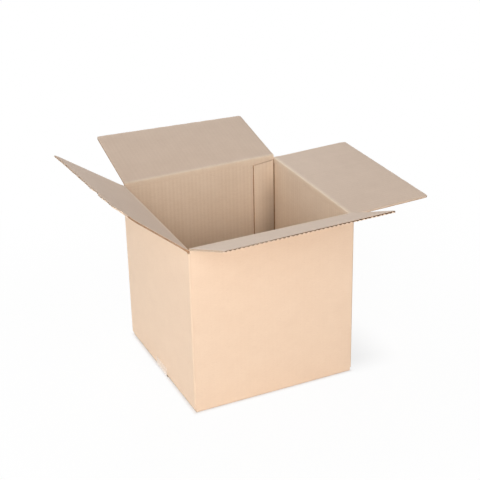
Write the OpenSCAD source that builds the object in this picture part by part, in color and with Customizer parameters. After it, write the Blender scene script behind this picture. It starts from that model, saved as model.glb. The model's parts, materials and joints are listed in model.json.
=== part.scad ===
// Open cardboard box: a slotted carton folded from one sheet of corrugated board, stood open.
// Its four walls, its glued side seam and its closed, taped bottom are one folded piece.
// Each top flap turns on the crease where it leaves its wall.
// Origin at the middle of the underside, +Z up, front towards -Y.

/* [Box] */
// Outer width, left to right
box_w = 300; // [180:1:600]
// Outer depth, front to back
box_d = 300; // [180:1:600]
// Height of the creases of the two side flaps above the floor
box_h = 300; // [120:1:600]
// Outer radius of the folds between the walls and of the bottom folds
fold_r = 3; // [1:0.5:4]
// Radius of the groove that scoring leaves along the inner side of a wall fold
score_r = 1.2; // [0.4:0.1:1.6]

/* [Board] */
// Thickness of the corrugated board
board_t = 4; // [3:0.1:6]
// Thickness of each flat liner
liner_t = 0.4; // [0.2:0.05:0.5]
// Thickness of the wavy medium, measured across the board
medium_t = 0.6; // [0.4:0.05:0.8]
// Distance from one flute to the next
flute_pitch = 7.4; // [6:0.1:9]
// Width of the glued line where the medium meets a liner
glue_line = 1.6; // [1:0.1:2]

/* [Top flaps] */
// How far the front and back flaps stop short of the box's sides
wide_inset = 3; // [2:0.5:6]
// Gap between a side flap's edges and the inner faces of the front and back walls
narrow_gap = 1; // [0.5:0.25:4]
// Gap between two flaps that meet along the middle
seam_gap = 1; // [0.5:0.25:3]
// Length of crushed, solid board beside the crease of a flap
crush_len = 9; // [7:0.5:14]
// Angle of the front flap above level
front_angle = 23.5; // [-40:0.5:90]
// Angle of the back flap above level
back_angle = 16; // [-40:0.5:90]
// Angle of the left flap above level
left_angle = 34.5; // [-40:0.5:90]
// Angle of the right flap above level
right_angle = 1.5; // [-40:0.5:90]

/* [Creases] */
// Gap between the round root of a flap and the top of its wall
crease_gap = 0.3; // [0.2:0.05:0.6]
// Depth of the slope that the outer edge of a wall's top gives way to
crease_relief = 3; // [2:0.25:3.5]
// Gap between flaps that lie on each other
layer_gap = 0.5; // [0.3:0.05:1]

/* [Glue tab] */
// Width of the tab that joins the right wall to the back wall
tab_w = 42; // [25:1:60]
// Distance from the tab's ends to the creases above and below it
tab_end_gap = 2.5; // [2.5:0.5:20]
// How much shorter the tab's free edge is at each end
tab_taper = 4.5; // [2:0.5:12]
// How far the cut end of the back wall stays inside the right wall's face
joint_inset = 1.5; // [0.5:0.25:2.5]

/* [Tape] */
// Width of the packing tape
tape_w = 48; // [24:1:75]
// Thickness of the tape
tape_t = 0.2; // [0.1:0.05:0.3]
// Height that the tape's ends reach up the side walls
tape_end_h = 20; // [14:1:60]

/* [Hidden] */
$fn = 48;
kraft_outside = [0.90, 0.76, 0.62];
kraft_inside = [0.76, 0.68, 0.60];
tape_colour = [0.86, 0.80, 0.70];
// A cut that should pass right through a face runs this far past it
over = 1;
root_r = board_t / 2;
// The front and back flaps close over the side flaps, so their creases lie one board higher
side_fold_z = box_h;
end_fold_z = box_h + board_t + layer_gap;
side_wall_top = side_fold_z - root_r - crease_gap;
end_wall_top = end_fold_z - root_r - crease_gap;
// The outer bottom flaps rest on the tape and carry the inner ones
outer_bottom_z = tape_t;
inner_bottom_z = outer_bottom_z + board_t + layer_gap;
floor_z = inner_bottom_z + board_t;
narrow_inset = board_t + narrow_gap;
wide_w = box_w - 2 * wide_inset;
narrow_w = box_d - 2 * narrow_inset;
// Flaps reach from the crease, in the middle of the board, to the seam in the middle of the box
wide_len = box_d / 2 - root_r - seam_gap / 2;
narrow_len = box_w / 2 - root_r - seam_gap / 2;
// Half the swing of the medium's middle line between the liners
wave_h = board_t / 2 - liner_t - medium_t / 2;
// Straight pieces that one flute's curve is drawn with
wave_steps = 4;

function wave(x) = wave_h * cos(360 * x / flute_pitch);

// Rectangle with four round corners, from its low corner to its high one
module rounded_plate(low, high, r) {
    size = high - low;
    translate(low + [r, 0])
        square([size.x - 2 * r, size.y]);
    translate(low + [0, r])
        square([size.x, size.y - 2 * r]);
    for (x = [low.x + r, high.x - r], y = [low.y + r, high.y - r])
        translate([x, y])
            circle(r);
}

// Outline of the walls from above. The right wall folds in behind the back wall, as the glue tab.
module outer_plan() {
    rounded_plate([-box_w / 2, -box_d / 2], [box_w / 2, box_d / 2 - board_t], fold_r);
    rounded_plate([-box_w / 2, 0], [box_w / 4, box_d / 2], fold_r);
    translate([0, box_d / 2 - board_t - over])
        square([box_w / 2 - joint_inset, board_t + over]);
}

module wall_plan() {
    difference() {
        outer_plan();
        square([box_w - 2 * board_t, box_d - 2 * board_t], center = true);
    }
}

// Two facing walls, each folded at its foot into a bottom flap that reaches the seam
module folded_pair(span, foot_z, top_z) {
    difference() {
        rounded_plate([-span / 2, foot_z], [span / 2, top_z + 2 * fold_r], fold_r);
        translate([-span / 2 + board_t, foot_z + board_t])
            square([span - 2 * board_t, top_z]);
        translate([-span / 2 - over, top_z])
            square([span + 2 * over, 2 * fold_r + over]);
        translate([-seam_gap / 2, foot_z - over])
            square([seam_gap, board_t + 2 * over]);
    }
}

// Moves to the crease of a wall: local -Y points out of the box, local X runs along the crease
module at_crease(turn, span, crease_z) {
    rotate([0, 0, turn])
        translate([0, -span / 2 + root_r, crease_z])
            children();
}

module at_front() {
    at_crease(0, box_d, end_fold_z) children();
}

module at_right() {
    at_crease(90, box_w, side_fold_z) children();
}

module at_back() {
    at_crease(180, box_d, end_fold_z) children();
}

module at_left() {
    at_crease(270, box_w, side_fold_z) children();
}

// Slope along the outer edge of a wall's top, which lets the flap hang below level
module relief(width) {
    low = -root_r - crease_gap;
    rotate([90, 0, 90])
        linear_extrude(width + 2 * over, center = true)
            polygon([
                [-root_r - over, low - crease_relief - over],
                [-root_r + crease_relief + over, low + over],
                [-root_r - over, low + over]
            ]);
}

// Tab on the right wall's back edge, glued to the inside of the back wall, with open flutes at its two ends
module glue_tab() {
    low = floor_z + tab_end_gap;
    high = side_fold_z - tab_end_gap;
    root_x = box_w / 2 - board_t;
    glued_y = box_d / 2 - board_t;
    difference() {
        translate([0, glued_y + over, 0])
            rotate([90, 0, 0])
                linear_extrude(board_t + over)
                    polygon([
                        [root_x + over, low],
                        [root_x + over, high],
                        [root_x, high],
                        [root_x - tab_w, high - tab_taper],
                        [root_x - tab_w, low + tab_taper],
                        [root_x, low]
                    ]);
        translate([root_x - tab_w / 2, glued_y - board_t / 2, 0])
            linear_extrude(box_h)
                flute_channels(tab_w);
    }
}

// Grooves up the inner corners, where the sheet was scored to fold; the last one is at the glue tab's fold
module fold_scores() {
    x = box_w / 2 - board_t;
    y = box_d / 2 - board_t;
    translate([0, 0, floor_z])
        linear_extrude(side_wall_top - floor_z)
            for (at = [[-x, -y], [x, -y], [-x, y], [x - score_r / 2, y - board_t]])
                translate(at)
                    circle(score_r);
}

module box_body() {
    ring_low = inner_bottom_z + fold_r;
    color(kraft_outside)
    difference() {
        union() {
            translate([0, 0, ring_low])
                linear_extrude(side_wall_top - ring_low)
                    wall_plan();
            rotate([90, 0, 90])
                linear_extrude(wide_w, center = true)
                    folded_pair(box_d, outer_bottom_z, end_wall_top);
            intersection() {
                linear_extrude(box_h)
                    outer_plan();
                rotate([90, 0, 0])
                    linear_extrude(narrow_w, center = true)
                        folded_pair(box_w, inner_bottom_z, side_wall_top);
            }
            glue_tab();
        }
        at_front() relief(wide_w);
        at_back() relief(wide_w);
        at_left() relief(narrow_w);
        at_right() relief(narrow_w);
        fold_scores();
    }
}

module bottom_tape() {
    color(tape_colour)
    rotate([90, 0, 0])
        linear_extrude(tape_w, center = true)
            difference() {
                rounded_plate([-box_w / 2 - tape_t, 0], [box_w / 2 + tape_t, box_h], fold_r + tape_t);
                rounded_plate([-box_w / 2, tape_t], [box_w / 2, box_h + over], fold_r);
                translate([-box_w, tape_end_h])
                    square([2 * box_w, box_h]);
            }
}

// One open channel between the upper liner and the medium, from one crest to the next
module flute_channel() {
    first = glue_line / 2;
    last = flute_pitch - glue_line / 2;
    step = (last - first) / wave_steps;
    roof = board_t / 2 - liner_t;
    polygon(concat(
        [for (k = [0 : wave_steps]) [first + k * step, wave(first + k * step) + medium_t / 2]],
        [[last, roof], [first, roof]]
    ));
}

// All the channels across a board of that width, above and below the medium
module flute_channels(width) {
    count = floor((width - 2 * glue_line) / flute_pitch);
    start = -count * flute_pitch / 2;
    for (i = [0 : count - 1])
        translate([start + i * flute_pitch, 0])
            flute_channel();
    for (i = [0 : count - 2])
        translate([start + (i + 0.5) * flute_pitch, 0])
            mirror([0, 1])
                flute_channel();
}

// Section across the flutes: two liners with a wavy medium between them
module board_section(width) {
    difference() {
        square([width, board_t], center = true);
        flute_channels(width);
    }
}

// Flap with open flutes at its free edge and a round, crushed root on the crease
module flap(width, length, angle) {
    rotate([-angle, 0, 0]) {
        translate([0, -crush_len, 0])
            rotate([90, 0, 0])
                linear_extrude(length - crush_len)
                    board_section(width);
        rotate([90, 0, 90])
            linear_extrude(width, center = true) {
                circle(root_r);
                translate([-crush_len, -root_r])
                    square([crush_len, board_t]);
            }
    }
}

module front_flap() {
    color(kraft_inside)
        at_front() flap(wide_w, wide_len, front_angle);
}

module back_flap() {
    color(kraft_inside)
        at_back() flap(wide_w, wide_len, back_angle);
}

module left_flap() {
    color(kraft_inside)
        at_left() flap(narrow_w, narrow_len, left_angle);
}

module right_flap() {
    color(kraft_inside)
        at_right() flap(narrow_w, narrow_len, right_angle);
}

box_body();
bottom_tape();
front_flap();
back_flap();
left_flap();
right_flap();
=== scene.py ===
import json
import math

import bmesh
import bpy
import numpy as np
from mathutils import Matrix, Vector


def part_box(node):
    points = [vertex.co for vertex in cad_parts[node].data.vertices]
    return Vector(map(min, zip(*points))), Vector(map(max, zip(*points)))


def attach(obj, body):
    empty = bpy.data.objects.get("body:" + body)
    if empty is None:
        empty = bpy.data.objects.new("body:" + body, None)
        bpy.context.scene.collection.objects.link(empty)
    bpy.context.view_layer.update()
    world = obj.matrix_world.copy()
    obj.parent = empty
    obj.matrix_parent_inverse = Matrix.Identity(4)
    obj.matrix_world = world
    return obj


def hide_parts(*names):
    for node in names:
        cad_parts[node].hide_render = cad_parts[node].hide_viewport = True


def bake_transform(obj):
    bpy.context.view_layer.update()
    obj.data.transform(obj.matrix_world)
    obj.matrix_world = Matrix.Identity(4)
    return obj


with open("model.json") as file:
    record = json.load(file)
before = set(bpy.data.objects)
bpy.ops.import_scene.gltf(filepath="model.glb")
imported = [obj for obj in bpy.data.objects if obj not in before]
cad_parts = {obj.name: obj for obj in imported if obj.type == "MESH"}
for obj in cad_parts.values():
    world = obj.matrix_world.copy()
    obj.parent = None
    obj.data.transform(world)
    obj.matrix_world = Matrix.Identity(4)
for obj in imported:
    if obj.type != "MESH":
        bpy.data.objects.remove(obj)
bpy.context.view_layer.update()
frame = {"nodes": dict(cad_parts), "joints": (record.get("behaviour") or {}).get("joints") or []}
nodes = frame["nodes"]
joints = {joint["child"]: joint for joint in frame["joints"]}

# Lengths are in millimetres until a mesh is made
MM = 0.001
BOARD = 4.0
HALF = BOARD / 2
LINER = 0.4
MEDIUM = 0.45
PITCH = 7.4
COLUMNS_PER_FLUTE = 8

# Walls of the carton, as packed, from the middle of the box, and the heights of its floor and top
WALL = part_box("box_body")[1][0] / MM
INNER = WALL - BOARD
FLOOR_Z = 8.7
SIDE_TOP = 297.7

# Faces of the carton: slack when one is placed, and the least part of its normal along an axis
SLACK = 0.1
WIDE_SLACK = 0.9
FACING = 0.9

# Scored grooves up the inner corners; the last one is at the fold of the glue tab
SCORE_R = 1.2
SCORES = [(-INNER, -INNER), (INNER, -INNER), (-INNER, INNER), (INNER - SCORE_R / 2, INNER - BOARD)]

# Free edge of the glue tab
TAB_EDGE = INNER - 42.0

# Crease: how far the bent board reaches down its wall, and how far it stands proud of it
CREASE_DEPTH = 9.5
CREASE_PROUD = 0.1
CREASE_SUNK = 0.35
CREASE_FILLET = 1.5

# Rows of a liner: down its wall, round the crease, and along the flap as shares of its length
WALL_DROPS = [CREASE_DEPTH, 8.6, 6.0]
WALL_PROUD = [-CREASE_SUNK, 0.02, CREASE_PROUD]
ARC_ROWS = 8
FLAP_ROWS = [0.02, 0.045, 0.08, 0.14, 0.22, 0.32, 0.43, 0.54, 0.65, 0.75, 0.84, 0.91, 0.955, 0.98,
             0.993, 1.0]

# Rows of the medium: from the crease, and back from the free edge
MEDIUM_ROWS = [5.0, 10.0, 18.0, 35.0, 60.0, 90.0, 115.0]
MEDIUM_LAST_ROWS = [12.0, 6.0, 2.0, 0.5]
MEDIUM_SHORT = 0.25

# Free edge: unevenness of the cut, of each liner's fibres, and the length of their waves
CUT_UNEVEN, CUT_WAVE = 0.35, 38.0
FRAY, FRAY_WAVE = 0.22, 3.1

# Crushed board: how far in from the free edge and the sides, the most of it, and how uneven it is
CRUSH_IN = 7.0
SIDE_CRUSH_IN = 3.5
CRUSH_MOST = 0.85
CRUSH_WAVE = 31.0
CLOSED_IN = 5.0
CLOSED_MOST = 0.92
CLOSED_WAVE = 2.3 * PITCH
UNEVEN = 0.35

# Flutes that show in a liner as faint waves, and how far the medium's crests run into the liners
WASHBOARD = 0.02
CREST_IN = 0.03

# Rubbed paper: how far it fades from the crease, the free edge and the sides, and its waves
CREASE_WEAR = 2.6
FREE_WEAR = 1.6
SIDE_WEAR = 1.2
WEAR_WAVE = 23.0

# Uneven lines: sums of sine waves in octaves, and the height that they are divided by
OCTAVES = 3
WAVES_PER_OCTAVE = 3
RIPPLE_PEAK = 3.2

# Seeds of the left flap's own lines. Each other line adds its number to its flap's seed
NOTCH_SEED = 41
DENT_SEED = 57
CRUSH_SEED = 20
WEAR_SEED = 40
FRAY_SEEDS = (60, 61)
CLOSED_SEED = 80

# Crushed edge of the board down a flap's side: how far in it lies, and how wide it is
STRIP_IN = 0.2
STRIP_WIDE = 1.2

# Noise is shifted through the board by this much from flap to flap and from liner to liner
FLAP_SHIFT = 100.0
LINER_SHIFT = 40.0

# Faces that meet at less than this angle are shaded as one
SMOOTH_DEG = 40.0

# Material slots of a flap and of the carton
FLAP_IN, FLAP_OUT, RIM, CORE = range(4)
OUT_X, OUT_Y, IN_X, IN_Y, CUT, GROOVE_SHADE, TAB_CUT = range(7)

# Areas of a flap's bake map, as (u0, v0, u1, v1): face, back and rims of a liner or of the medium
LINER_MAPS = {
    1: ((0, 0, 1, 0.4), (0, 0.86, 0.48, 0.87), (0.52, 0.86, 1, 0.872)),
    -1: ((0, 0.42, 1, 0.82), (0, 0.89, 0.48, 0.9), (0.52, 0.89, 1, 0.902)),
}
MEDIUM_MAPS = ((0, 0.92, 0.48, 0.93), (0, 0.935, 0.48, 0.945), (0.52, 0.92, 1, 0.935))
STRIP_V = {1: 0.96, -1: 0.98}
STRIP_HEIGHT = 0.012

# Tape: outer radius of its bend, points across and along it, and depth of the saw cut at its ends
TAPE_BEND = 3.2
TAPE_COLUMNS = 65
TAPE_RISE_ROWS = 7
TAPE_BEND_ROWS = 9
TAPE_FLAT_ROWS = (0.8, 0.6, 0.4, 0.2, 0.0)
SAW_DEPTH = 1.1
TAPE_MAPS = ((0, 0, 1, 0.45), (0, 0.5, 1, 0.95), (0, 0.96, 1, 0.999))

# Camera, fitted to the edges in the photograph, and its clipping in metres
PHOTO_SIZE = 480
FOCAL_PX = 1229.39
AZIMUTH = -24.46
ELEVATION = 25.73
ROLL = -1.34
DISTANCE = 2176.58
OFF_RIGHT = 5.68
OFF_UP = 68.01
AIM_Z = 150.0
SENSOR = 36.0
CLIP_NEAR, CLIP_FAR = 0.05, 50.0


def linear(red, green, blue):
    """An sRGB colour of 0 to 255 as the linear colour that a shader takes."""
    def one(value):
        value = value / 255
        return value / 12.92 if value <= 0.04045 else ((value + 0.055) / 1.055) ** 2.4
    return (one(red), one(green), one(blue), 1.0)


# Colours of the board and the tape
OUT_LIGHT = linear(249, 222, 196)
OUT_DARK = linear(238, 208, 181)
OUT_WORN = linear(249, 230, 210)
# Painted shade: darker tone on the folds and foot of the outer walls, in place of worn paper
FOLD_SHADE_TONE = linear(222, 192, 165)
IN_LIGHT = linear(250, 230, 208)
IN_DARK = linear(236, 213, 189)
IN_WORN = linear(251, 235, 214)
# Inner liner of the flaps past their crease: a little duller than inside the walls
FLAP_LIGHT = linear(235, 212, 192)
FLAP_DARK = linear(221, 196, 175)
# Painted shade: dark brown mixed into the liner inside the front and back walls
PAINTED_SHADE_TONE = linear(70, 45, 30)
FLECK = linear(178, 134, 98)
RIM_LIGHT = linear(236, 214, 192)
RIM_DARK = linear(208, 178, 151)
CORE_LIGHT = linear(206, 170, 138)
CORE_DARK = linear(160, 122, 92)
# Painted shade: dark brown on the faces of the scored grooves in the inner corners
GROOVE_SHADE_LIGHT = linear(176, 134, 98)
GROOVE_SHADE_DARK = linear(136, 99, 68)
TAPE_LIGHT = linear(250, 238, 229)
TAPE_DARK = linear(242, 224, 209)
TAPE_FLAT = linear(243, 218, 194)

# Rubbed paper, and on the outer walls painted shade at their folds and foot: its share where it is
# full, and how near a wall's fold it starts and is full
WEAR_SHARE = 0.5
FOLD_FROM, FOLD_FULL = 5.0, 1.0

# Painted shade on the liner inside the front and back walls: darker low down, and towards the fold
# of the glue tab. Its shares, and the heights where it starts and where it is full
DEPTH_SHADE_SHARE = 0.25
DEPTH_FROM, DEPTH_FULL = 230.0, 120.0
TAB_SHADE_SHARE = 0.34
TAB_FROM, TAB_FULL = 285.0, 215.0

# Distances from a crease between which a flap's liner takes its own tones
CREASE_FROM, CREASE_PAST = -1.0, 5.0

# Strengths of flecks, of painted shade in stripes along the flutes, and of streaks along them
OUT_MARKS = (0.2, 0.02, 0.1)
IN_MARKS = (0.25, 0.12, 0.6)
FLAP_MARKS = (0.25, 0.05, 0.3)

# Noise on the paper: features per metre across the flutes, along them and through the board
FIBRE = (90.0, 900.0, 900.0)
GRAIN = (700.0, 1500.0, 1500.0)
MOTTLE = (26.0, 34.0, 34.0)
CLOUD = (5.0, 6.0, 6.0)
STREAK = (130.0, 2.5, 130.0)
SPOTS = (420.0, 1100.0, 1100.0)

# Noise on cut board and on the tape
CUT_COARSE = (160.0, 160.0, 160.0)
CUT_FINE = (1300.0, 1300.0, 1300.0)
TAPE_STREAK = (30.0, 420.0, 30.0)
TAPE_BUBBLE = (240.0, 240.0, 240.0)

# Height of the tape's foot, where the film stands off the fold, and from where it lies flat
TAPE_FOOT, TAPE_STUCK = 5.0, 12.0


# Node materials

class Shader:
    """One node material, built socket by socket."""

    def __init__(self, name):
        self.material = bpy.data.materials.new(name)
        self.material.use_nodes = True
        self.tree = self.material.node_tree
        self.tree.nodes.clear()

    def add(self, kind, inputs=None, **settings):
        node = self.tree.nodes.new(kind)
        for name, value in settings.items():
            setattr(node, name, value)
        for name, value in (inputs or {}).items():
            self.put(node.inputs[name], value)
        return node

    def put(self, socket, value):
        if isinstance(value, bpy.types.NodeSocket):
            self.tree.links.new(value, socket)
        else:
            socket.default_value = value

    def math(self, operation, first, second=0.0):
        node = self.add("ShaderNodeMath", {0: first, 1: second}, operation=operation)
        return node.outputs[0]

    def total(self, *terms):
        """Sum of (socket, factor) pairs."""
        result = None
        for socket, factor in terms:
            part = self.math("MULTIPLY", socket, factor)
            result = part if result is None else self.math("ADD", result, part)
        return result

    def ramp(self, value, low, high):
        """0 on low's side, 1 on high's side, smooth between them."""
        inputs = {"Value": value, "From Min": low, "From Max": high}
        node = self.add("ShaderNodeMapRange", inputs, interpolation_type="SMOOTHSTEP")
        return node.outputs["Result"]

    def mix(self, factor, first, second):
        node = self.add("ShaderNodeMix", data_type="RGBA")
        self.put(node.inputs[0], factor)
        self.put(node.inputs[6], first)
        self.put(node.inputs[7], second)
        return node.outputs[2]

    def clamp(self, value):
        return self.math("MINIMUM", self.math("MAXIMUM", value, 0.0), 1.0)

    def stretched(self, vector, scale):
        node = self.add("ShaderNodeVectorMath", {0: vector, 1: scale}, operation="MULTIPLY")
        return node.outputs[0]

    def noise(self, vector, scale, detail=2.0, roughness=0.5):
        """Noise about zero, with scale features per metre."""
        place = self.stretched(vector, scale)
        inputs = {"Vector": place, "Scale": 1.0, "Detail": detail, "Roughness": roughness}
        node = self.add("ShaderNodeTexNoise", inputs)
        return self.math("SUBTRACT", node.outputs[0], 0.5)

    def bump(self, height):
        inputs = {"Strength": 1.0, "Distance": 1.0, "Height": height}
        return self.add("ShaderNodeBump", inputs).outputs[0]

    def object_place(self):
        return self.add("ShaderNodeTexCoord").outputs["Object"]

    def split(self, vector):
        return self.add("ShaderNodeSeparateXYZ", {0: vector}).outputs

    def join(self, *parts):
        return self.add("ShaderNodeCombineXYZ", dict(enumerate(parts))).outputs[0]

    def finish(self, shader):
        output = self.add("ShaderNodeOutputMaterial")
        self.tree.links.new(shader, output.inputs["Surface"])
        return self.material


def board_place(shader, across):
    """Place on the board in metres: across the flutes, along them, and through the board."""
    if across == "stored":
        return shader.add("ShaderNodeAttribute", attribute_name="board").outputs["Vector"]
    place = shader.split(shader.object_place())
    if across == "x":
        return shader.join(place[0], place[2], place[1])
    return shader.join(place[1], place[2], place[0])


def fold_wear_and_shade(shader):
    """1 on the folds of the walls and at their foot, fading over a few millimetres. It carries
    painted shade on the outer walls and rubbed paper inside.
    """
    place = shader.split(shader.object_place())
    from_x = shader.math("SUBTRACT", WALL * MM, shader.math("ABSOLUTE", place[0]))
    from_y = shader.math("SUBTRACT", WALL * MM, shader.math("ABSOLUTE", place[1]))
    from_fold = shader.math("MAXIMUM", from_x, from_y)
    from_edge = shader.math("MINIMUM", from_fold, place[2])
    return shader.ramp(from_edge, FOLD_FROM * MM, FOLD_FULL * MM)


def painted_inner_shade(shader):
    """Share of painted shade inside the front and back walls: low down, and near the tab's fold."""
    place = shader.split(shader.object_place())
    painted_shade = shader.ramp(place[2], DEPTH_FROM * MM, DEPTH_FULL * MM)
    tab = shader.ramp(place[0], TAB_EDGE * MM, INNER * MM)
    tab = shader.math("MULTIPLY", tab, shader.ramp(place[1], 0.0, INNER * MM / 2))
    tab = shader.math("MULTIPLY", tab, shader.ramp(place[2], TAB_FROM * MM, TAB_FULL * MM))
    return shader.total((painted_shade, DEPTH_SHADE_SHARE), (tab, TAB_SHADE_SHARE))


def liner_material(name, across, tones, strengths, flap_tones=None, painted_shade=False):
    """Kraft liner: fibres, flecks and clouds, with painted shade in faint stripes along the flutes.
    tones are light, dark and worn paper, the third being painted shade on the outer walls;
    strengths are those of flecks, painted flute shade and streaks.
    A flap's liner takes flap_tones past its crease; the last argument darkens the liner inside the
    box with painted shade."""
    light, dark, worn = tones
    fleck_share, flute_shade, streak_tone = strengths
    shader = Shader(name)
    place = board_place(shader, across)
    parts = shader.split(place)
    turn = shader.math("MULTIPLY", parts[0], 2 * math.pi / (PITCH * MM))
    flute = shader.math("COSINE", turn)
    fibre = shader.noise(place, FIBRE, 3.0, 0.6)
    grain = shader.noise(place, GRAIN, 2.0, 0.6)
    mottle = shader.noise(place, MOTTLE, 4.0, 0.55)
    cloud = shader.noise(place, CLOUD)
    streak = shader.noise(place, STREAK)
    tone = shader.total((fibre, 0.9), (grain, 0.45), (mottle, 0.7), (cloud, 0.35))
    # Painted shade in stripes along the flutes, where their faint relief would shade
    tone = shader.math("ADD", tone, shader.total((flute, flute_shade), (streak, streak_tone)))
    tone = shader.clamp(shader.math("ADD", tone, 0.5))
    colour = shader.mix(tone, dark, light)
    if flap_tones:
        duller_flap_tones = shader.mix(tone, flap_tones[1], flap_tones[0])
        past_crease = shader.ramp(parts[1], CREASE_FROM * MM, CREASE_PAST * MM)
        colour = shader.mix(past_crease, colour, duller_flap_tones)
    # Painted shade: darker low down and towards the glue tab's fold
    if painted_shade:
        colour = shader.mix(painted_inner_shade(shader), colour, PAINTED_SHADE_TONE)
    spots = shader.noise(place, SPOTS, 1.0)
    fleck = shader.math("MULTIPLY", shader.ramp(spots, 0.17, 0.25), fleck_share)
    colour = shader.mix(fleck, colour, FLECK)
    if across == "stored":
        wear = shader.add("ShaderNodeAttribute", attribute_name="wear").outputs["Fac"]
    else:
        wear = fold_wear_and_shade(shader)
    scuff = shader.math("ADD", shader.total((mottle, 1.2), (fibre, 1.5)), 0.75)
    wear = shader.math("MULTIPLY", wear, shader.clamp(scuff))
    # Worn paper; on the outer walls, painted shade at the folds and foot
    colour = shader.mix(shader.math("MULTIPLY", wear, WEAR_SHARE), colour, worn)
    height = shader.total((flute, 1.0e-5), (fibre, 5.0e-5), (grain, 4.0e-5), (mottle, 1.2e-4))
    rough = shader.math("ADD", shader.total((fibre, 0.25), (mottle, 0.2)), 0.74)
    bsdf = shader.add("ShaderNodeBsdfPrincipled", {
        "Base Color": colour,
        "Roughness": rough,
        "Normal": shader.bump(height),
        "Specular IOR Level": 0.3,
        "Sheen Weight": 0.08,
        "Sheen Roughness": 0.5,
    })
    return shader.finish(bsdf.outputs[0])


def edge_material(name, across, light, dark):
    """Cut board: brown, fibrous, uneven."""
    shader = Shader(name)
    if across == "stored":
        place = board_place(shader, across)
    else:
        place = shader.object_place()
    coarse = shader.noise(place, CUT_COARSE, 3.0, 0.6)
    fine = shader.noise(place, CUT_FINE, 2.0, 0.6)
    tone = shader.clamp(shader.math("ADD", shader.total((coarse, 1.4), (fine, 1.1)), 0.5))
    colour = shader.mix(tone, dark, light)
    height = shader.total((coarse, 2.0e-4), (fine, 1.0e-4))
    rough = shader.math("ADD", shader.total((fine, 0.2)), 0.88)
    bsdf = shader.add("ShaderNodeBsdfPrincipled", {
        "Base Color": colour,
        "Roughness": rough,
        "Normal": shader.bump(height),
        "Specular IOR Level": 0.15,
    })
    return shader.finish(bsdf.outputs[0])


def tape_material(name):
    """Film over the board: glossy, slightly streaked, and palest where it stands off the fold."""
    shader = Shader(name)
    place = shader.object_place()
    streak = shader.noise(place, TAPE_STREAK, 3.0, 0.6)
    bubble = shader.noise(place, TAPE_BUBBLE)
    tone = shader.clamp(shader.math("ADD", shader.total((streak, 1.3), (bubble, 0.7)), 0.5))
    colour = shader.mix(tone, TAPE_DARK, TAPE_LIGHT)
    stuck = shader.ramp(shader.split(place)[2], TAPE_FOOT * MM, TAPE_STUCK * MM)
    colour = shader.mix(stuck, colour, TAPE_FLAT)
    height = shader.total((streak, 3.0e-5), (bubble, 8.0e-5))
    rough = shader.math("ADD", shader.total((bubble, 0.2), (streak, 0.15)), 0.24)
    bsdf = shader.add("ShaderNodeBsdfPrincipled", {
        "Base Color": colour,
        "Roughness": rough,
        "Normal": shader.bump(height),
    })
    return shader.finish(bsdf.outputs[0])


# Mesh building

class Build:
    """Collects grids of points and their faces, then makes one mesh object."""

    def __init__(self):
        self.points, self.boards, self.wears = [], [], []
        self.faces, self.slots, self.maps = [], [], []
        self.count = 0

    def grid(self, points, boards, wears):
        rows, columns = points.shape[:2]
        self.points.append(points.reshape(-1, 3))
        self.boards.append(boards.reshape(-1, 3))
        self.wears.append(wears.reshape(-1))
        index = self.count + np.arange(rows * columns).reshape(rows, columns)
        self.count += rows * columns
        return index

    def quads(self, index, slot, area):
        """Faces between neighbouring rows and columns. area is (u0, v0, u1, v1) on the map."""
        rows, columns = index.shape
        face = np.stack([index[:-1, :-1], index[:-1, 1:], index[1:, 1:], index[1:, :-1]], -1)
        self.faces.append(face.reshape(-1, 4))
        self.slots.append(np.full((rows - 1) * (columns - 1), slot))
        u = np.linspace(area[0], area[2], columns)
        v = np.linspace(area[1], area[3], rows)
        spot = np.stack(np.meshgrid(u, v), -1)
        corner = np.stack([spot[:-1, :-1], spot[:-1, 1:], spot[1:, 1:], spot[1:, :-1]], -2)
        self.maps.append(corner.reshape(-1, 2))

    def shell(self, face, back, slots, areas):
        """Closed plate between two grids of the same size: its face, its back and the four rims."""
        self.quads(face, slots[0], areas[0])
        self.quads(back[::-1], slots[1], areas[1])
        rims = [
            np.stack([face[0], back[0]]),
            np.stack([back[-1], face[-1]]),
            np.stack([back[:, 0], face[:, 0]]),
            np.stack([face[:, -1], back[:, -1]]),
        ]
        u0, v0, u1, v1 = areas[2]
        step = (v1 - v0) / len(rims)
        for place, rim in enumerate(rims):
            self.quads(rim, slots[2], (u0, v0 + place * step, u1, v0 + (place + 0.8) * step))

    def make(self, name, materials):
        mesh = bpy.data.meshes.new(name)
        points = np.concatenate(self.points) * MM
        faces = np.concatenate(self.faces)
        mesh.from_pydata(points.tolist(), [], faces.tolist())
        for material in materials:
            mesh.materials.append(material)
        mesh.polygons.foreach_set("material_index", np.concatenate(self.slots).astype(np.int32))
        board = mesh.attributes.new("board", "FLOAT_VECTOR", "POINT")
        places = np.concatenate(self.boards) * MM
        board.data.foreach_set("vector", places.astype(np.float32).ravel())
        wear = mesh.attributes.new("wear", "FLOAT", "POINT")
        wear.data.foreach_set("value", np.concatenate(self.wears).astype(np.float32))
        layer = mesh.uv_layers.new(name="OFBake")
        layer.uv.foreach_set("vector", np.concatenate(self.maps).astype(np.float32).ravel())
        work = bmesh.new()
        work.from_mesh(mesh)
        bmesh.ops.recalc_face_normals(work, faces=work.faces)
        work.to_mesh(mesh)
        work.free()
        mesh.polygons.foreach_set("use_smooth", np.ones(len(mesh.polygons), dtype=bool))
        mesh.set_sharp_from_angle(angle=math.radians(SMOOTH_DEG))
        obj = bpy.data.objects.new(name, mesh)
        bpy.context.scene.collection.objects.link(obj)
        return obj


def ripple(x, wavelength, seed):
    """Smooth uneven line of about -1 to 1, the same on each run."""
    draw = np.random.default_rng(seed)
    result = np.zeros_like(x, dtype=float)
    for octave in range(OCTAVES):
        for _ in range(WAVES_PER_OCTAVE):
            length = wavelength * draw.uniform(0.7, 1.4) / 2 ** octave
            result += np.sin(2 * math.pi * x / length + draw.uniform(0, 2 * math.pi)) / 2 ** octave
    return result / RIPPLE_PEAK


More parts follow.
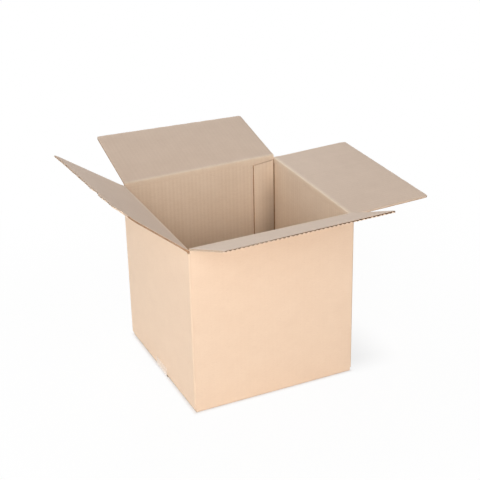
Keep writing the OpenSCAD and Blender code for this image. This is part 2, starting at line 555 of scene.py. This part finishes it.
def smooth(value, low, high):
    """0 up to low, 1 from high on, smooth between them."""
    t = np.clip((value - low) / (high - low), 0.0, 1.0)
    return t * t * (3 - 2 * t)


# Top flaps

def plain_reach(x, half, length):
    return np.full_like(x, length)


def right_reach(x, half, length):
    """Cut 2 mm long."""
    return np.full_like(x, length + 2.0)


def left_reach(x, half, length):
    """A long far corner, a worn near corner and a crumpled edge beside it."""
    worn = 8.0 * smooth(x, half - 42.0, half) + 2.5 * smooth(x, half - 12.0, half)
    crumple = smooth(x, 5.0, 30.0) * (1 - smooth(x, half - 30.0, half))
    notch = 1.1 * (1 + ripple(x, 26.0, NOTCH_SEED)) * crumple
    return length + 1.5 - 2.7 * smooth(x, -half, 40.0 - half) - worn - notch


def no_dent(x, s, half, length):
    return np.zeros_like(x * s)


def left_dent(x, s, half, length):
    """Waves in the crumpled part of the free edge, and a corner that curls up."""
    near_edge = smooth(s, length - 34.0, length)
    crumple = smooth(x, 0.0, 40.0)
    wave = 1.3 * ripple(x, 44.0, DENT_SEED) * near_edge * crumple
    curl = 3.0 * smooth(x, half - 45.0, half) * smooth(s, length - 40.0, length)
    return wave + curl


# What sets each flap apart. Pairs are for its two ends, from low to high along the crease.
# twist: degrees added to its angle. corners: radii of its free corners. bow: rise of its middle.
# crush: how flat the knife left the free edge's two ends and the sides.
# closed: how far the inner and the outer liner close the flutes at the free edge.
# recess: how much deeper the board's side edges lie between the liners.
# reach and dent: the length across the flap, and how far the board stands off its plane.
FLAPS = {
    "front": {
        "node": "front_flap", "out": (0, -1), "along": (1, 0), "seed": 11,
        "twist": (-1.1, 0.0), "corners": (2.0, 4.0), "bow": 0.6,
        "crush": (0.42, 0.12, 0.3), "closed": (0.2, 0.78), "side_slot": RIM, "recess": 0.0,
        "reach": plain_reach, "dent": no_dent,
    },
    "back": {
        "node": "back_flap", "out": (0, 1), "along": (-1, 0), "seed": 12,
        "twist": (-4.0, 0.2), "corners": (3.0, 4.0), "bow": 0.8,
        "crush": (0.2, 0.2, 0.3), "closed": (0.1, 0.1), "side_slot": CORE, "recess": 0.0,
        "reach": plain_reach, "dent": no_dent,
    },
    "left": {
        "node": "left_flap", "out": (-1, 0), "along": (0, -1), "seed": 13,
        "twist": (-0.2, 5.2), "corners": (1.5, 6.0), "bow": 0.5,
        "crush": (0.2, 0.7, 0.25), "closed": (0.9, 0.7), "side_slot": CORE, "recess": 1.2,
        "reach": left_reach, "dent": left_dent,
    },
    "right": {
        "node": "right_flap", "out": (1, 0), "along": (0, 1), "seed": 14,
        "twist": (0.0, 0.0), "corners": (4.0, 5.0), "bow": 0.7,
        "crush": (0.2, 0.2, 0.3), "closed": (0.1, 0.3), "side_slot": RIM, "recess": 0.0,
        "reach": right_reach, "dent": no_dent,
    },
}


class Flap:
    """One top flap: where its crease lies, how long and wide it is, and how its board is bent."""

    def __init__(self, body, style):
        joint = joints[body]
        self.style = style
        self.seed = style["seed"]
        self.shift = self.seed * FLAP_SHIFT
        self.axis = np.array(joint["pos_m"]) / MM
        self.angle = 180.0 - joint["range_deg"][1]
        self.out = np.array([*style["out"], 0.0])
        self.along = np.array([*style["along"], 0.0])
        self.up = np.array([0.0, 0.0, 1.0])
        node = nodes[style["node"]]
        co = np.array([v.co for v in node.data.vertices]) / MM - self.axis
        angle = math.radians(self.angle)
        reach = co @ (math.cos(angle) * self.out + math.sin(angle) * self.up)
        self.length = float(reach.max())
        self.half = float((co @ self.along).max())
        count = int(round(2 * self.half / PITCH * COLUMNS_PER_FLUTE))
        self.x = np.linspace(-self.half, self.half, count + 1)
        self.reach = self.free_edge(self.x)
        share = (self.x + self.half) / (2 * self.half)
        low, high = style["twist"]
        self.tilt = np.radians(self.angle + low + (high - low) * share)

    def free_edge(self, x):
        """Length of the flap at each place across it, with its two corners rounded."""
        reach = self.style["reach"](x, self.half, self.length)
        reach = reach - CUT_UNEVEN * (1 + ripple(x, CUT_WAVE, self.seed))
        for radius, side in zip(self.style["corners"], (-1, 1)):
            into = np.clip(side * x - (self.half - radius), 0.0, radius)
            reach = reach - (radius - np.sqrt(radius * radius - into * into))
        return reach

    def world(self, x, p, q):
        """Points from the place along the crease, outward from it and above it."""
        return (self.axis + x[..., None] * self.along
                + p[..., None] * self.out + q[..., None] * self.up)

    def kept(self, x, s):
        """Share of its thickness that the board keeps where the knife crushed it."""
        low, high, sides = self.style["crush"]
        free = low + (high - low) * (x + self.half) / (2 * self.half)
        uneven = 1 + UNEVEN * ripple(x, CRUSH_WAVE, self.seed + CRUSH_SEED)
        at_free = np.clip(free * uneven, 0.0, CRUSH_MOST)
        at_free = at_free * smooth(s, self.reach - CRUSH_IN, self.reach)
        at_sides = sides * smooth(np.abs(x), self.half - SIDE_CRUSH_IN, self.half)
        at_sides = at_sides * smooth(s, 4.0, 12.0)
        return (1 - at_free) * (1 - at_sides)

    def pressed(self, x, s, side):
        """How far a liner sinks into the flutes behind it at the free edge."""
        open_flute = 0.5 * (1 - side * np.cos(2 * math.pi * x / PITCH))
        share = self.style["closed"][0 if side > 0 else 1]
        uneven = 1 + UNEVEN * ripple(x, CLOSED_WAVE, self.seed + CLOSED_SEED + side)
        closed = np.clip(share * uneven, 0.0, CLOSED_MOST)
        gap = 2 * (HALF - LINER - MEDIUM / 2)
        return -side * gap * closed * open_flute * smooth(s, self.reach - CLOSED_IN, self.reach)

    def bent(self, x, s, h, tilt):
        """Place on the flap s from the crease and h above the board's middle."""
        bow = self.style["bow"] * np.sin(math.pi * np.clip(s / self.length, 0, 1))
        bow = bow * (1 - (x / self.half) ** 2)
        dent = self.style["dent"](x, s, self.half, self.length)
        loose = smooth(s, 8.0, 40.0)
        lift = h * self.kept(x, s) + loose * (bow + dent)
        return s * np.cos(tilt) - lift * np.sin(tilt), s * np.sin(tilt) + lift * np.cos(tilt)

    def sheet(self, depth, side, frayed):
        """Grid of one face of a liner, from down the wall, round the crease, to the free edge.
        side is 1 for the inner liner and -1 for the outer one.
        depth is the face's distance from the board's middle."""
        x = self.x[None, :]
        tilt = self.tilt[None, :]
        reach = self.reach[None, :] - frayed[None, :]
        drop = np.array(WALL_DROPS)[:, None]
        proud = np.array(WALL_PROUD)[:, None]
        turn = np.linspace(0, 1, ARC_ROWS)[:, None]
        flat = np.array(FLAP_ROWS)[:, None]
        end = np.pi / 2 + tilt
        swing = np.pi + (end - np.pi) * turn
        wash = WASHBOARD * side * np.cos(2 * math.pi * x / PITCH)
        if side > 0:
            radius = depth + CREASE_PROUD
            start = 0.0
            wall_p, wall_q = -(depth + proud) + 0 * x, -drop + 0 * x
            arc_p, arc_q = radius * np.cos(swing), radius * np.sin(swing)
        else:
            fillet = CREASE_FILLET + HALF - depth
            centre = HALF + CREASE_FILLET
            start = centre * (1 - np.sin(tilt)) / np.cos(tilt)
            low = start * np.sin(tilt) - centre * np.cos(tilt)
            wall_p, wall_q = depth + proud + 0 * x, np.minimum(-drop, low - 0.6)
            arc_p = centre + (fillet - CREASE_PROUD) * np.cos(swing)
            arc_q = low + (fillet - CREASE_PROUD) * np.sin(swing)
        s = start + flat * (reach - start)
        proud_flap = CREASE_PROUD * (1 - smooth(s, 4.0, 14.0))
        washed = wash * smooth(s, 6.0, 16.0)
        height = side * (depth + proud_flap) + washed + self.pressed(x, s, side)
        flap_p, flap_q = self.bent(x, s, height, tilt)
        p = np.concatenate([wall_p, arc_p, flap_p])
        q = np.concatenate([wall_q, arc_q, flap_q])
        wide = x + 0 * p
        run = np.concatenate([-drop + 0 * x, (turn - 0.5) * 2.0 + 0 * x, s])
        through = np.full_like(run, side * LINER_SHIFT + self.shift)
        board = np.stack([wide, run, through], -1)
        return self.world(wide, p, q), board, self.wear(wide, run, reach)

    def wear(self, x, s, reach):
        """Rubbed paper on the crease, at the free edge and along the sides."""
        crease = np.exp(-((s - 0.5) / CREASE_WEAR) ** 2)
        free = np.exp(-np.maximum(reach - s, 0) / FREE_WEAR)
        sides = np.exp(-np.maximum(self.half - np.abs(x), 0) / SIDE_WEAR)
        uneven = 0.75 + UNEVEN * ripple(x + 0.7 * s, WEAR_WAVE, self.seed + WEAR_SEED)
        return np.clip(np.maximum(0.8 * crease, 0.6 * np.maximum(free, sides)) * uneven, 0, 1)

    def medium(self, side):
        """Grid of one face of the wavy medium."""
        x = self.x[None, :]
        swing = HALF - LINER - MEDIUM / 2 + CREST_IN
        s = np.array(MEDIUM_ROWS)[:, None] + 0 * x
        last = np.array(MEDIUM_LAST_ROWS)[:, None]
        s = np.concatenate([s, self.reach[None, :] - last - MEDIUM_SHORT])
        crushed = 0.4 + 0.6 * smooth(s, 6.0, 18.0)
        h = crushed * swing * np.cos(2 * math.pi * x / PITCH) + side * MEDIUM / 2
        p, q = self.bent(x, s, h, self.tilt[None, :])
        wide = x + 0 * s
        board = np.stack([wide, s, h + self.shift], -1)
        return self.world(wide, p, q), board, 0 * s

    def strip(self, build, side, upper, lower):
        """Crushed edge of the board down one side, between the two liners."""
        column = -1 if side > 0 else 0
        spans = []
        for grid in (upper, lower):
            edge = grid[0][1:, column]
            s = grid[1][1:, column, 1:2]
            recess = STRIP_IN + self.style["recess"] * (0.3 + 0.7 * smooth(s, 20.0, 60.0))
            inner = edge - side * (recess + STRIP_WIDE) * self.along
            outer = edge - side * recess * self.along
            spans.append((outer, inner))
        ring = np.stack([spans[0][0], spans[0][1], spans[1][1], spans[1][0]], 1)
        rows = len(ring)
        board = np.zeros((rows, 4, 3))
        board[..., 0] = side * self.half
        board[..., 1] = np.linspace(0, self.length, rows)[:, None]
        core = HALF - LINER
        board[..., 2] = np.array([core, core, -core, -core])[None, :] + self.shift
        index = build.grid(ring, board, np.zeros((rows, 4)))
        looped = np.concatenate([index, index[:, :1]], 1)
        low = STRIP_V[side]
        high = low + STRIP_HEIGHT
        slot = self.style["side_slot"]
        build.quads(looped, slot, (0.0, low, 0.9, high))
        for row, u in ((0, 0.92), (-1, 0.96)):
            cap = index[row][[0, 1, 3, 2]].reshape(2, 2)
            build.quads(cap, slot, (u, low, u + 0.02, high))

    def make(self, name, materials):
        build = Build()
        grids = {}
        for side, number in zip((1, -1), FRAY_SEEDS):
            frayed = FRAY * (1 + ripple(self.x, FRAY_WAVE, self.seed + number))
            for face, depth in ((True, HALF), (False, HALF - LINER)):
                grids[side, face] = self.sheet(depth, side, frayed)
        for side, slot in ((1, FLAP_IN), (-1, FLAP_OUT)):
            face = build.grid(*grids[side, True])
            back = build.grid(*grids[side, False])
            build.shell(face, back, (slot, CORE, RIM), LINER_MAPS[side])
        face = build.grid(*self.medium(1))
        back = build.grid(*self.medium(-1))
        build.shell(face, back, (CORE, CORE, CORE), MEDIUM_MAPS)
        for side in (1, -1):
            self.strip(build, side, grids[1, False], grids[-1, False])
        return build.make(name, materials)


def make_flaps(materials):
    """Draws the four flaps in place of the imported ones.
    materials are in the order of a flap's slots."""
    for body, style in FLAPS.items():
        flap = Flap(body, style)
        piece = flap.make(body + "_flap_board", materials)
        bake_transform(piece)
        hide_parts(style["node"])


# Carton and tape

def dress_carton(materials):
    """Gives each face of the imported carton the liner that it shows, or bare cut board.
    materials are in the order of the carton's slots."""
    mesh = nodes["box_body"].data
    count = len(mesh.polygons)
    centre = np.zeros(count * 3)
    normal = np.zeros(count * 3)
    mesh.polygons.foreach_get("center", centre)
    mesh.polygons.foreach_get("normal", normal)
    x, y, z = (centre.reshape(-1, 3) / MM).T
    nx, ny, nz = normal.reshape(-1, 3).T
    from_middle = np.maximum(np.abs(x), np.abs(y))
    inside = (from_middle < INNER + WIDE_SLACK) & (z > FLOOR_Z - SLACK)
    upright = np.abs(nz) < 0.5
    along_x = np.abs(ny) > np.abs(nx)
    slot = np.where(inside, np.where(along_x, IN_X, IN_Y), np.where(along_x, OUT_X, OUT_Y))
    level = np.abs(nz) > FACING
    slot[level & inside] = IN_Y
    slot[level & ~inside] = np.where(z[level & ~inside] < HALF, OUT_X, OUT_Y)
    top = (nz > 0.3) & (z > SIDE_TOP - BOARD)
    slot_ends = (np.abs(nx) > FACING) & (z > SIDE_TOP) & (np.abs(x) < WALL - HALF)
    raw_end = (nx > FACING) & (x > INNER + HALF) & (x < WALL - 1.0)
    foot_ends = (z < FLOOR_Z) & upright & (from_middle < WALL - HALF)
    in_tab = (y > INNER - BOARD + SLACK) & (y < INNER - SLACK)
    in_tab &= (x > TAB_EDGE - BOARD) & (x < INNER - WIDE_SLACK)
    in_tab &= (z > FLOOR_Z + 1.0) & (z < SIDE_TOP)
    slot[top | slot_ends | raw_end | foot_ends | in_tab] = CUT
    from_fold = [np.hypot(x - fold_x, y - fold_y) for fold_x, fold_y in SCORES]
    # Painted shade: the faces of the scored grooves get dark brown
    slot[(np.min(from_fold, 0) < SCORE_R + SLACK) & upright] = GROOVE_SHADE
    slot[in_tab & (nx < -FACING) & (x < TAB_EDGE + HALF)] = TAB_CUT
    mesh.materials.clear()
    for material in materials:
        mesh.materials.append(material)
    mesh.polygons.foreach_set("material_index", slot.astype(np.int32))


def make_tape(material):
    """Strip of tape across the bottom seam and up two walls, cut with a saw edge at its ends."""
    low, high = (np.array(v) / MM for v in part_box("bottom_tape"))
    half = (high[1] - low[1]) / 2
    outer, thick, top = high[0], high[0] - WALL, high[2]
    y = np.linspace(-half, half, TAPE_COLUMNS)
    saw = np.where(np.arange(TAPE_COLUMNS) % 2 == 0, 0.0, SAW_DEPTH)
    rise = np.linspace(1.0, 0.0, TAPE_RISE_ROWS)
    swing = np.linspace(0, np.pi / 2, TAPE_BEND_ROWS)[1:]
    turn_x = outer - TAPE_BEND

    def row(x, z):
        return np.broadcast_to(x, y.shape), np.broadcast_to(z, y.shape)

    def side(offset):
        """One face of the strip, from the top of its right end to the top of its left end."""
        radius = TAPE_BEND - offset
        height = top - saw - TAPE_BEND
        up = [row(outer - offset, TAPE_BEND + share * height) for share in rise]
        bend = [row(turn_x + radius * np.cos(a), TAPE_BEND - radius * np.sin(a)) for a in swing]
        flat = [row(share * turn_x, offset) for share in TAPE_FLAT_ROWS]
        right = up + bend + flat
        left = [(-x, z) for x, z in right[-2::-1]]
        path_x, path_z = np.array(right + left).transpose(1, 0, 2)
        return np.stack([path_x, np.broadcast_to(y, path_x.shape), path_z], -1)

    build = Build()
    grids = [side(0.0), side(thick)]
    index = [build.grid(g, g.copy(), np.zeros(g.shape[:2])) for g in grids]
    build.shell(index[0], index[1], (0, 0, 0), TAPE_MAPS)
    piece = build.make("bottom_tape_strip", [material])
    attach(piece, "carton")
    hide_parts("bottom_tape")


# Stage, light and camera

# Lamps: name, azimuth, elevation and distance of the lamp, its width, its light at the box, colour
LAMPS = [
    ("key", -30.0, 24.0, 2.0, 1.66, 1.47, (1.0, 1.0, 1.0)),
    ("top", 0.0, 40.0, 3.0, 2.5, 0.26, (1.0, 1.0, 1.0)),
    ("side", -95.0, 14.0, 3.0, 2.5, 0.565, (0.85, 0.95, 1.0)),
    ("back", 173.0, 30.0, 3.0, 2.5, 1.43, (0.88, 0.94, 1.0)),
]
AMBIENT = 0.29
AMBIENT_COLOUR = (1.0, 0.95, 0.9, 1.0)
WHITE = (1.0, 1.0, 1.0, 1.0)

# Floor, in metres: half its width, and how far it lies below the box
FLOOR_HALF = 12.0
FLOOR_DROP = 0.0002
FLOOR_COLOUR = (0.94, 0.94, 0.94, 1.0)

# Share of the floor's light that is its own, under the box and round it, and where it becomes all
CONTACT_GLOW = 0.3
FLOOR_GLOW = 0.95
FADE_FROM, FADE_TO = 0.2, 0.8

# Shadow along the foot of the right wall: its strength, and how far it reaches in metres
FOOT_SHADE = 0.155
FOOT_REACH = 0.12


def foot_shadow(shader, x, y):
    """Soft shadow on the floor along the foot of the right wall."""
    edge = WALL * MM
    begins = shader.ramp(x, edge, edge + 0.004)
    fades = shader.ramp(x, edge + FOOT_REACH, edge)
    near_end = shader.ramp(y, -edge - 0.02, -edge + 0.04)
    far_end = shader.ramp(y, edge + 0.05, -edge + 0.05)
    shade = shader.math("MULTIPLY", begins, fades)
    shade = shader.math("MULTIPLY", shade, near_end)
    return shader.math("MULTIPLY", shade, far_end)


def make_floor():
    """White floor that keeps a soft shadow near the box and fades into the background."""
    shader = Shader("floor_white")
    path = shader.add("ShaderNodeLightPath").outputs
    seen = shader.math("MAXIMUM", path["Is Camera Ray"], path["Is Glossy Ray"])
    seen = shader.math("MAXIMUM", seen, path["Is Transmission Ray"])
    x, y = shader.split(shader.object_place())[:2]
    reach = shader.math("MAXIMUM", shader.math("ABSOLUTE", x), shader.math("ABSOLUTE", y))
    near = shader.ramp(reach, WALL * MM - 0.003, WALL * MM + 0.005)
    far = shader.ramp(reach, FADE_FROM, FADE_TO)
    share = shader.total((near, FLOOR_GLOW - CONTACT_GLOW), (far, 1 - FLOOR_GLOW))
    share = shader.math("ADD", share, CONTACT_GLOW)
    shade = shader.math("MULTIPLY", foot_shadow(shader, x, y), FOOT_SHADE)
    strength = shader.math("SUBTRACT", 1.0, shade)
    diffuse = shader.add("ShaderNodeBsdfDiffuse", {"Color": FLOOR_COLOUR})
    glow = shader.add("ShaderNodeEmission", {"Color": WHITE, "Strength": strength})
    mixed = shader.add("ShaderNodeMixShader", {
        0: shader.math("MULTIPLY", seen, share),
        1: diffuse.outputs[0],
        2: glow.outputs[0],
    })
    material = shader.finish(mixed.outputs[0])
    mesh = bpy.data.meshes.new("floor")
    half = FLOOR_HALF
    corners = [(-half, -half, 0), (half, -half, 0), (half, half, 0), (-half, half, 0)]
    mesh.from_pydata(corners, [], [(0, 1, 2, 3)])
    mesh.materials.append(material)
    floor = bpy.data.objects.new("floor", mesh)
    floor.location.z = -FLOOR_DROP
    bpy.context.scene.collection.objects.link(floor)


def make_world():
    """Soft light from all round, seen as white."""
    world = bpy.data.worlds.new("studio")
    bpy.context.scene.world = world
    world.use_nodes = True
    tree = world.node_tree
    tree.nodes.clear()
    path = tree.nodes.new("ShaderNodeLightPath")
    seen = tree.nodes.new("ShaderNodeMath")
    seen.operation = "MAXIMUM"
    tree.links.new(path.outputs["Is Camera Ray"], seen.inputs[0])
    tree.links.new(path.outputs["Is Transmission Ray"], seen.inputs[1])
    soft = tree.nodes.new("ShaderNodeBackground")
    soft.inputs["Color"].default_value = AMBIENT_COLOUR
    soft.inputs["Strength"].default_value = AMBIENT
    white = tree.nodes.new("ShaderNodeBackground")
    white.inputs["Strength"].default_value = 1.0
    white.inputs["Color"].default_value = WHITE
    mixed = tree.nodes.new("ShaderNodeMixShader")
    tree.links.new(seen.outputs[0], mixed.inputs[0])
    tree.links.new(soft.outputs[0], mixed.inputs[1])
    tree.links.new(white.outputs[0], mixed.inputs[2])
    output = tree.nodes.new("ShaderNodeOutputWorld")
    tree.links.new(mixed.outputs[0], output.inputs["Surface"])


def direction(azimuth, elevation):
    """Way from the box to a lamp or the camera. Azimuth runs from the front towards the right."""
    a, e = math.radians(azimuth), math.radians(elevation)
    return Vector((math.sin(a) * math.cos(e), -math.cos(a) * math.cos(e), math.sin(e)))


def make_lamps():
    for name, azimuth, elevation, distance, width, strength, colour in LAMPS:
        lamp = bpy.data.lights.new(name, "AREA")
        lamp.shape = "DISK"
        lamp.size = width
        lamp.energy = strength * math.pi * (distance ** 2 + (width / 2) ** 2)
        lamp.color = colour
        obj = bpy.data.objects.new(name, lamp)
        back = direction(azimuth, elevation)
        obj.location = Vector((0, 0, AIM_Z * MM)) + distance * back
        obj.rotation_mode = "QUATERNION"
        obj.rotation_quaternion = back.to_track_quat("Z", "Y")
        obj.visible_camera = False
        bpy.context.scene.collection.objects.link(obj)


def make_camera():
    data = bpy.data.cameras.new("photo_camera")
    data.sensor_width = SENSOR
    data.lens = FOCAL_PX / PHOTO_SIZE * SENSOR
    data.clip_start, data.clip_end = CLIP_NEAR, CLIP_FAR
    camera = bpy.data.objects.new("photo_camera", data)
    back = direction(AZIMUTH, ELEVATION)
    turn = math.radians(AZIMUTH)
    level = Vector((math.cos(turn), math.sin(turn), 0.0))
    rise = back.cross(level)
    roll = math.radians(ROLL)
    right = math.cos(roll) * level + math.sin(roll) * rise
    up = -math.sin(roll) * level + math.cos(roll) * rise
    place = Vector((0, 0, AIM_Z)) + OFF_RIGHT * right + OFF_UP * up + DISTANCE * back
    turned = Matrix((right, up, back)).transposed().to_4x4()
    camera.matrix_world = Matrix.Translation(place * MM) @ turned
    bpy.context.scene.collection.objects.link(camera)
    bpy.context.scene.camera = camera


def main():
    bpy.context.scene.view_settings.view_transform = "Standard"
    wall_out = (OUT_LIGHT, OUT_DARK, FOLD_SHADE_TONE)
    flap_out = (OUT_LIGHT, OUT_DARK, OUT_WORN)
    inside = (IN_LIGHT, IN_DARK, IN_WORN)
    duller_flap_tones = (FLAP_LIGHT, FLAP_DARK)
    make_flaps([
        liner_material("inside_liner_flap", "stored", inside, FLAP_MARKS, flap_tones=duller_flap_tones),
        liner_material("outside_liner_flap", "stored", flap_out, OUT_MARKS),
        edge_material("cut_liner_flap", "stored", RIM_LIGHT, RIM_DARK),
        edge_material("medium_flap", "stored", CORE_LIGHT, CORE_DARK),
    ])
    dress_carton([
        liner_material("outside_liner_x", "x", wall_out, OUT_MARKS),
        liner_material("outside_liner_y", "y", wall_out, OUT_MARKS),
        liner_material("inside_liner_x", "x", inside, IN_MARKS, painted_shade=True),
        liner_material("inside_liner_y", "y", inside, IN_MARKS),
        edge_material("cut_board", "object", RIM_LIGHT, RIM_DARK),
        edge_material("scored_fold_shade", "object", GROOVE_SHADE_LIGHT, GROOVE_SHADE_DARK),
        edge_material("tab_edge", "object", CORE_LIGHT, CORE_DARK),
    ])
    make_tape(tape_material("packing_film"))
    make_floor()
    make_world()
    make_lamps()
    make_camera()


main()
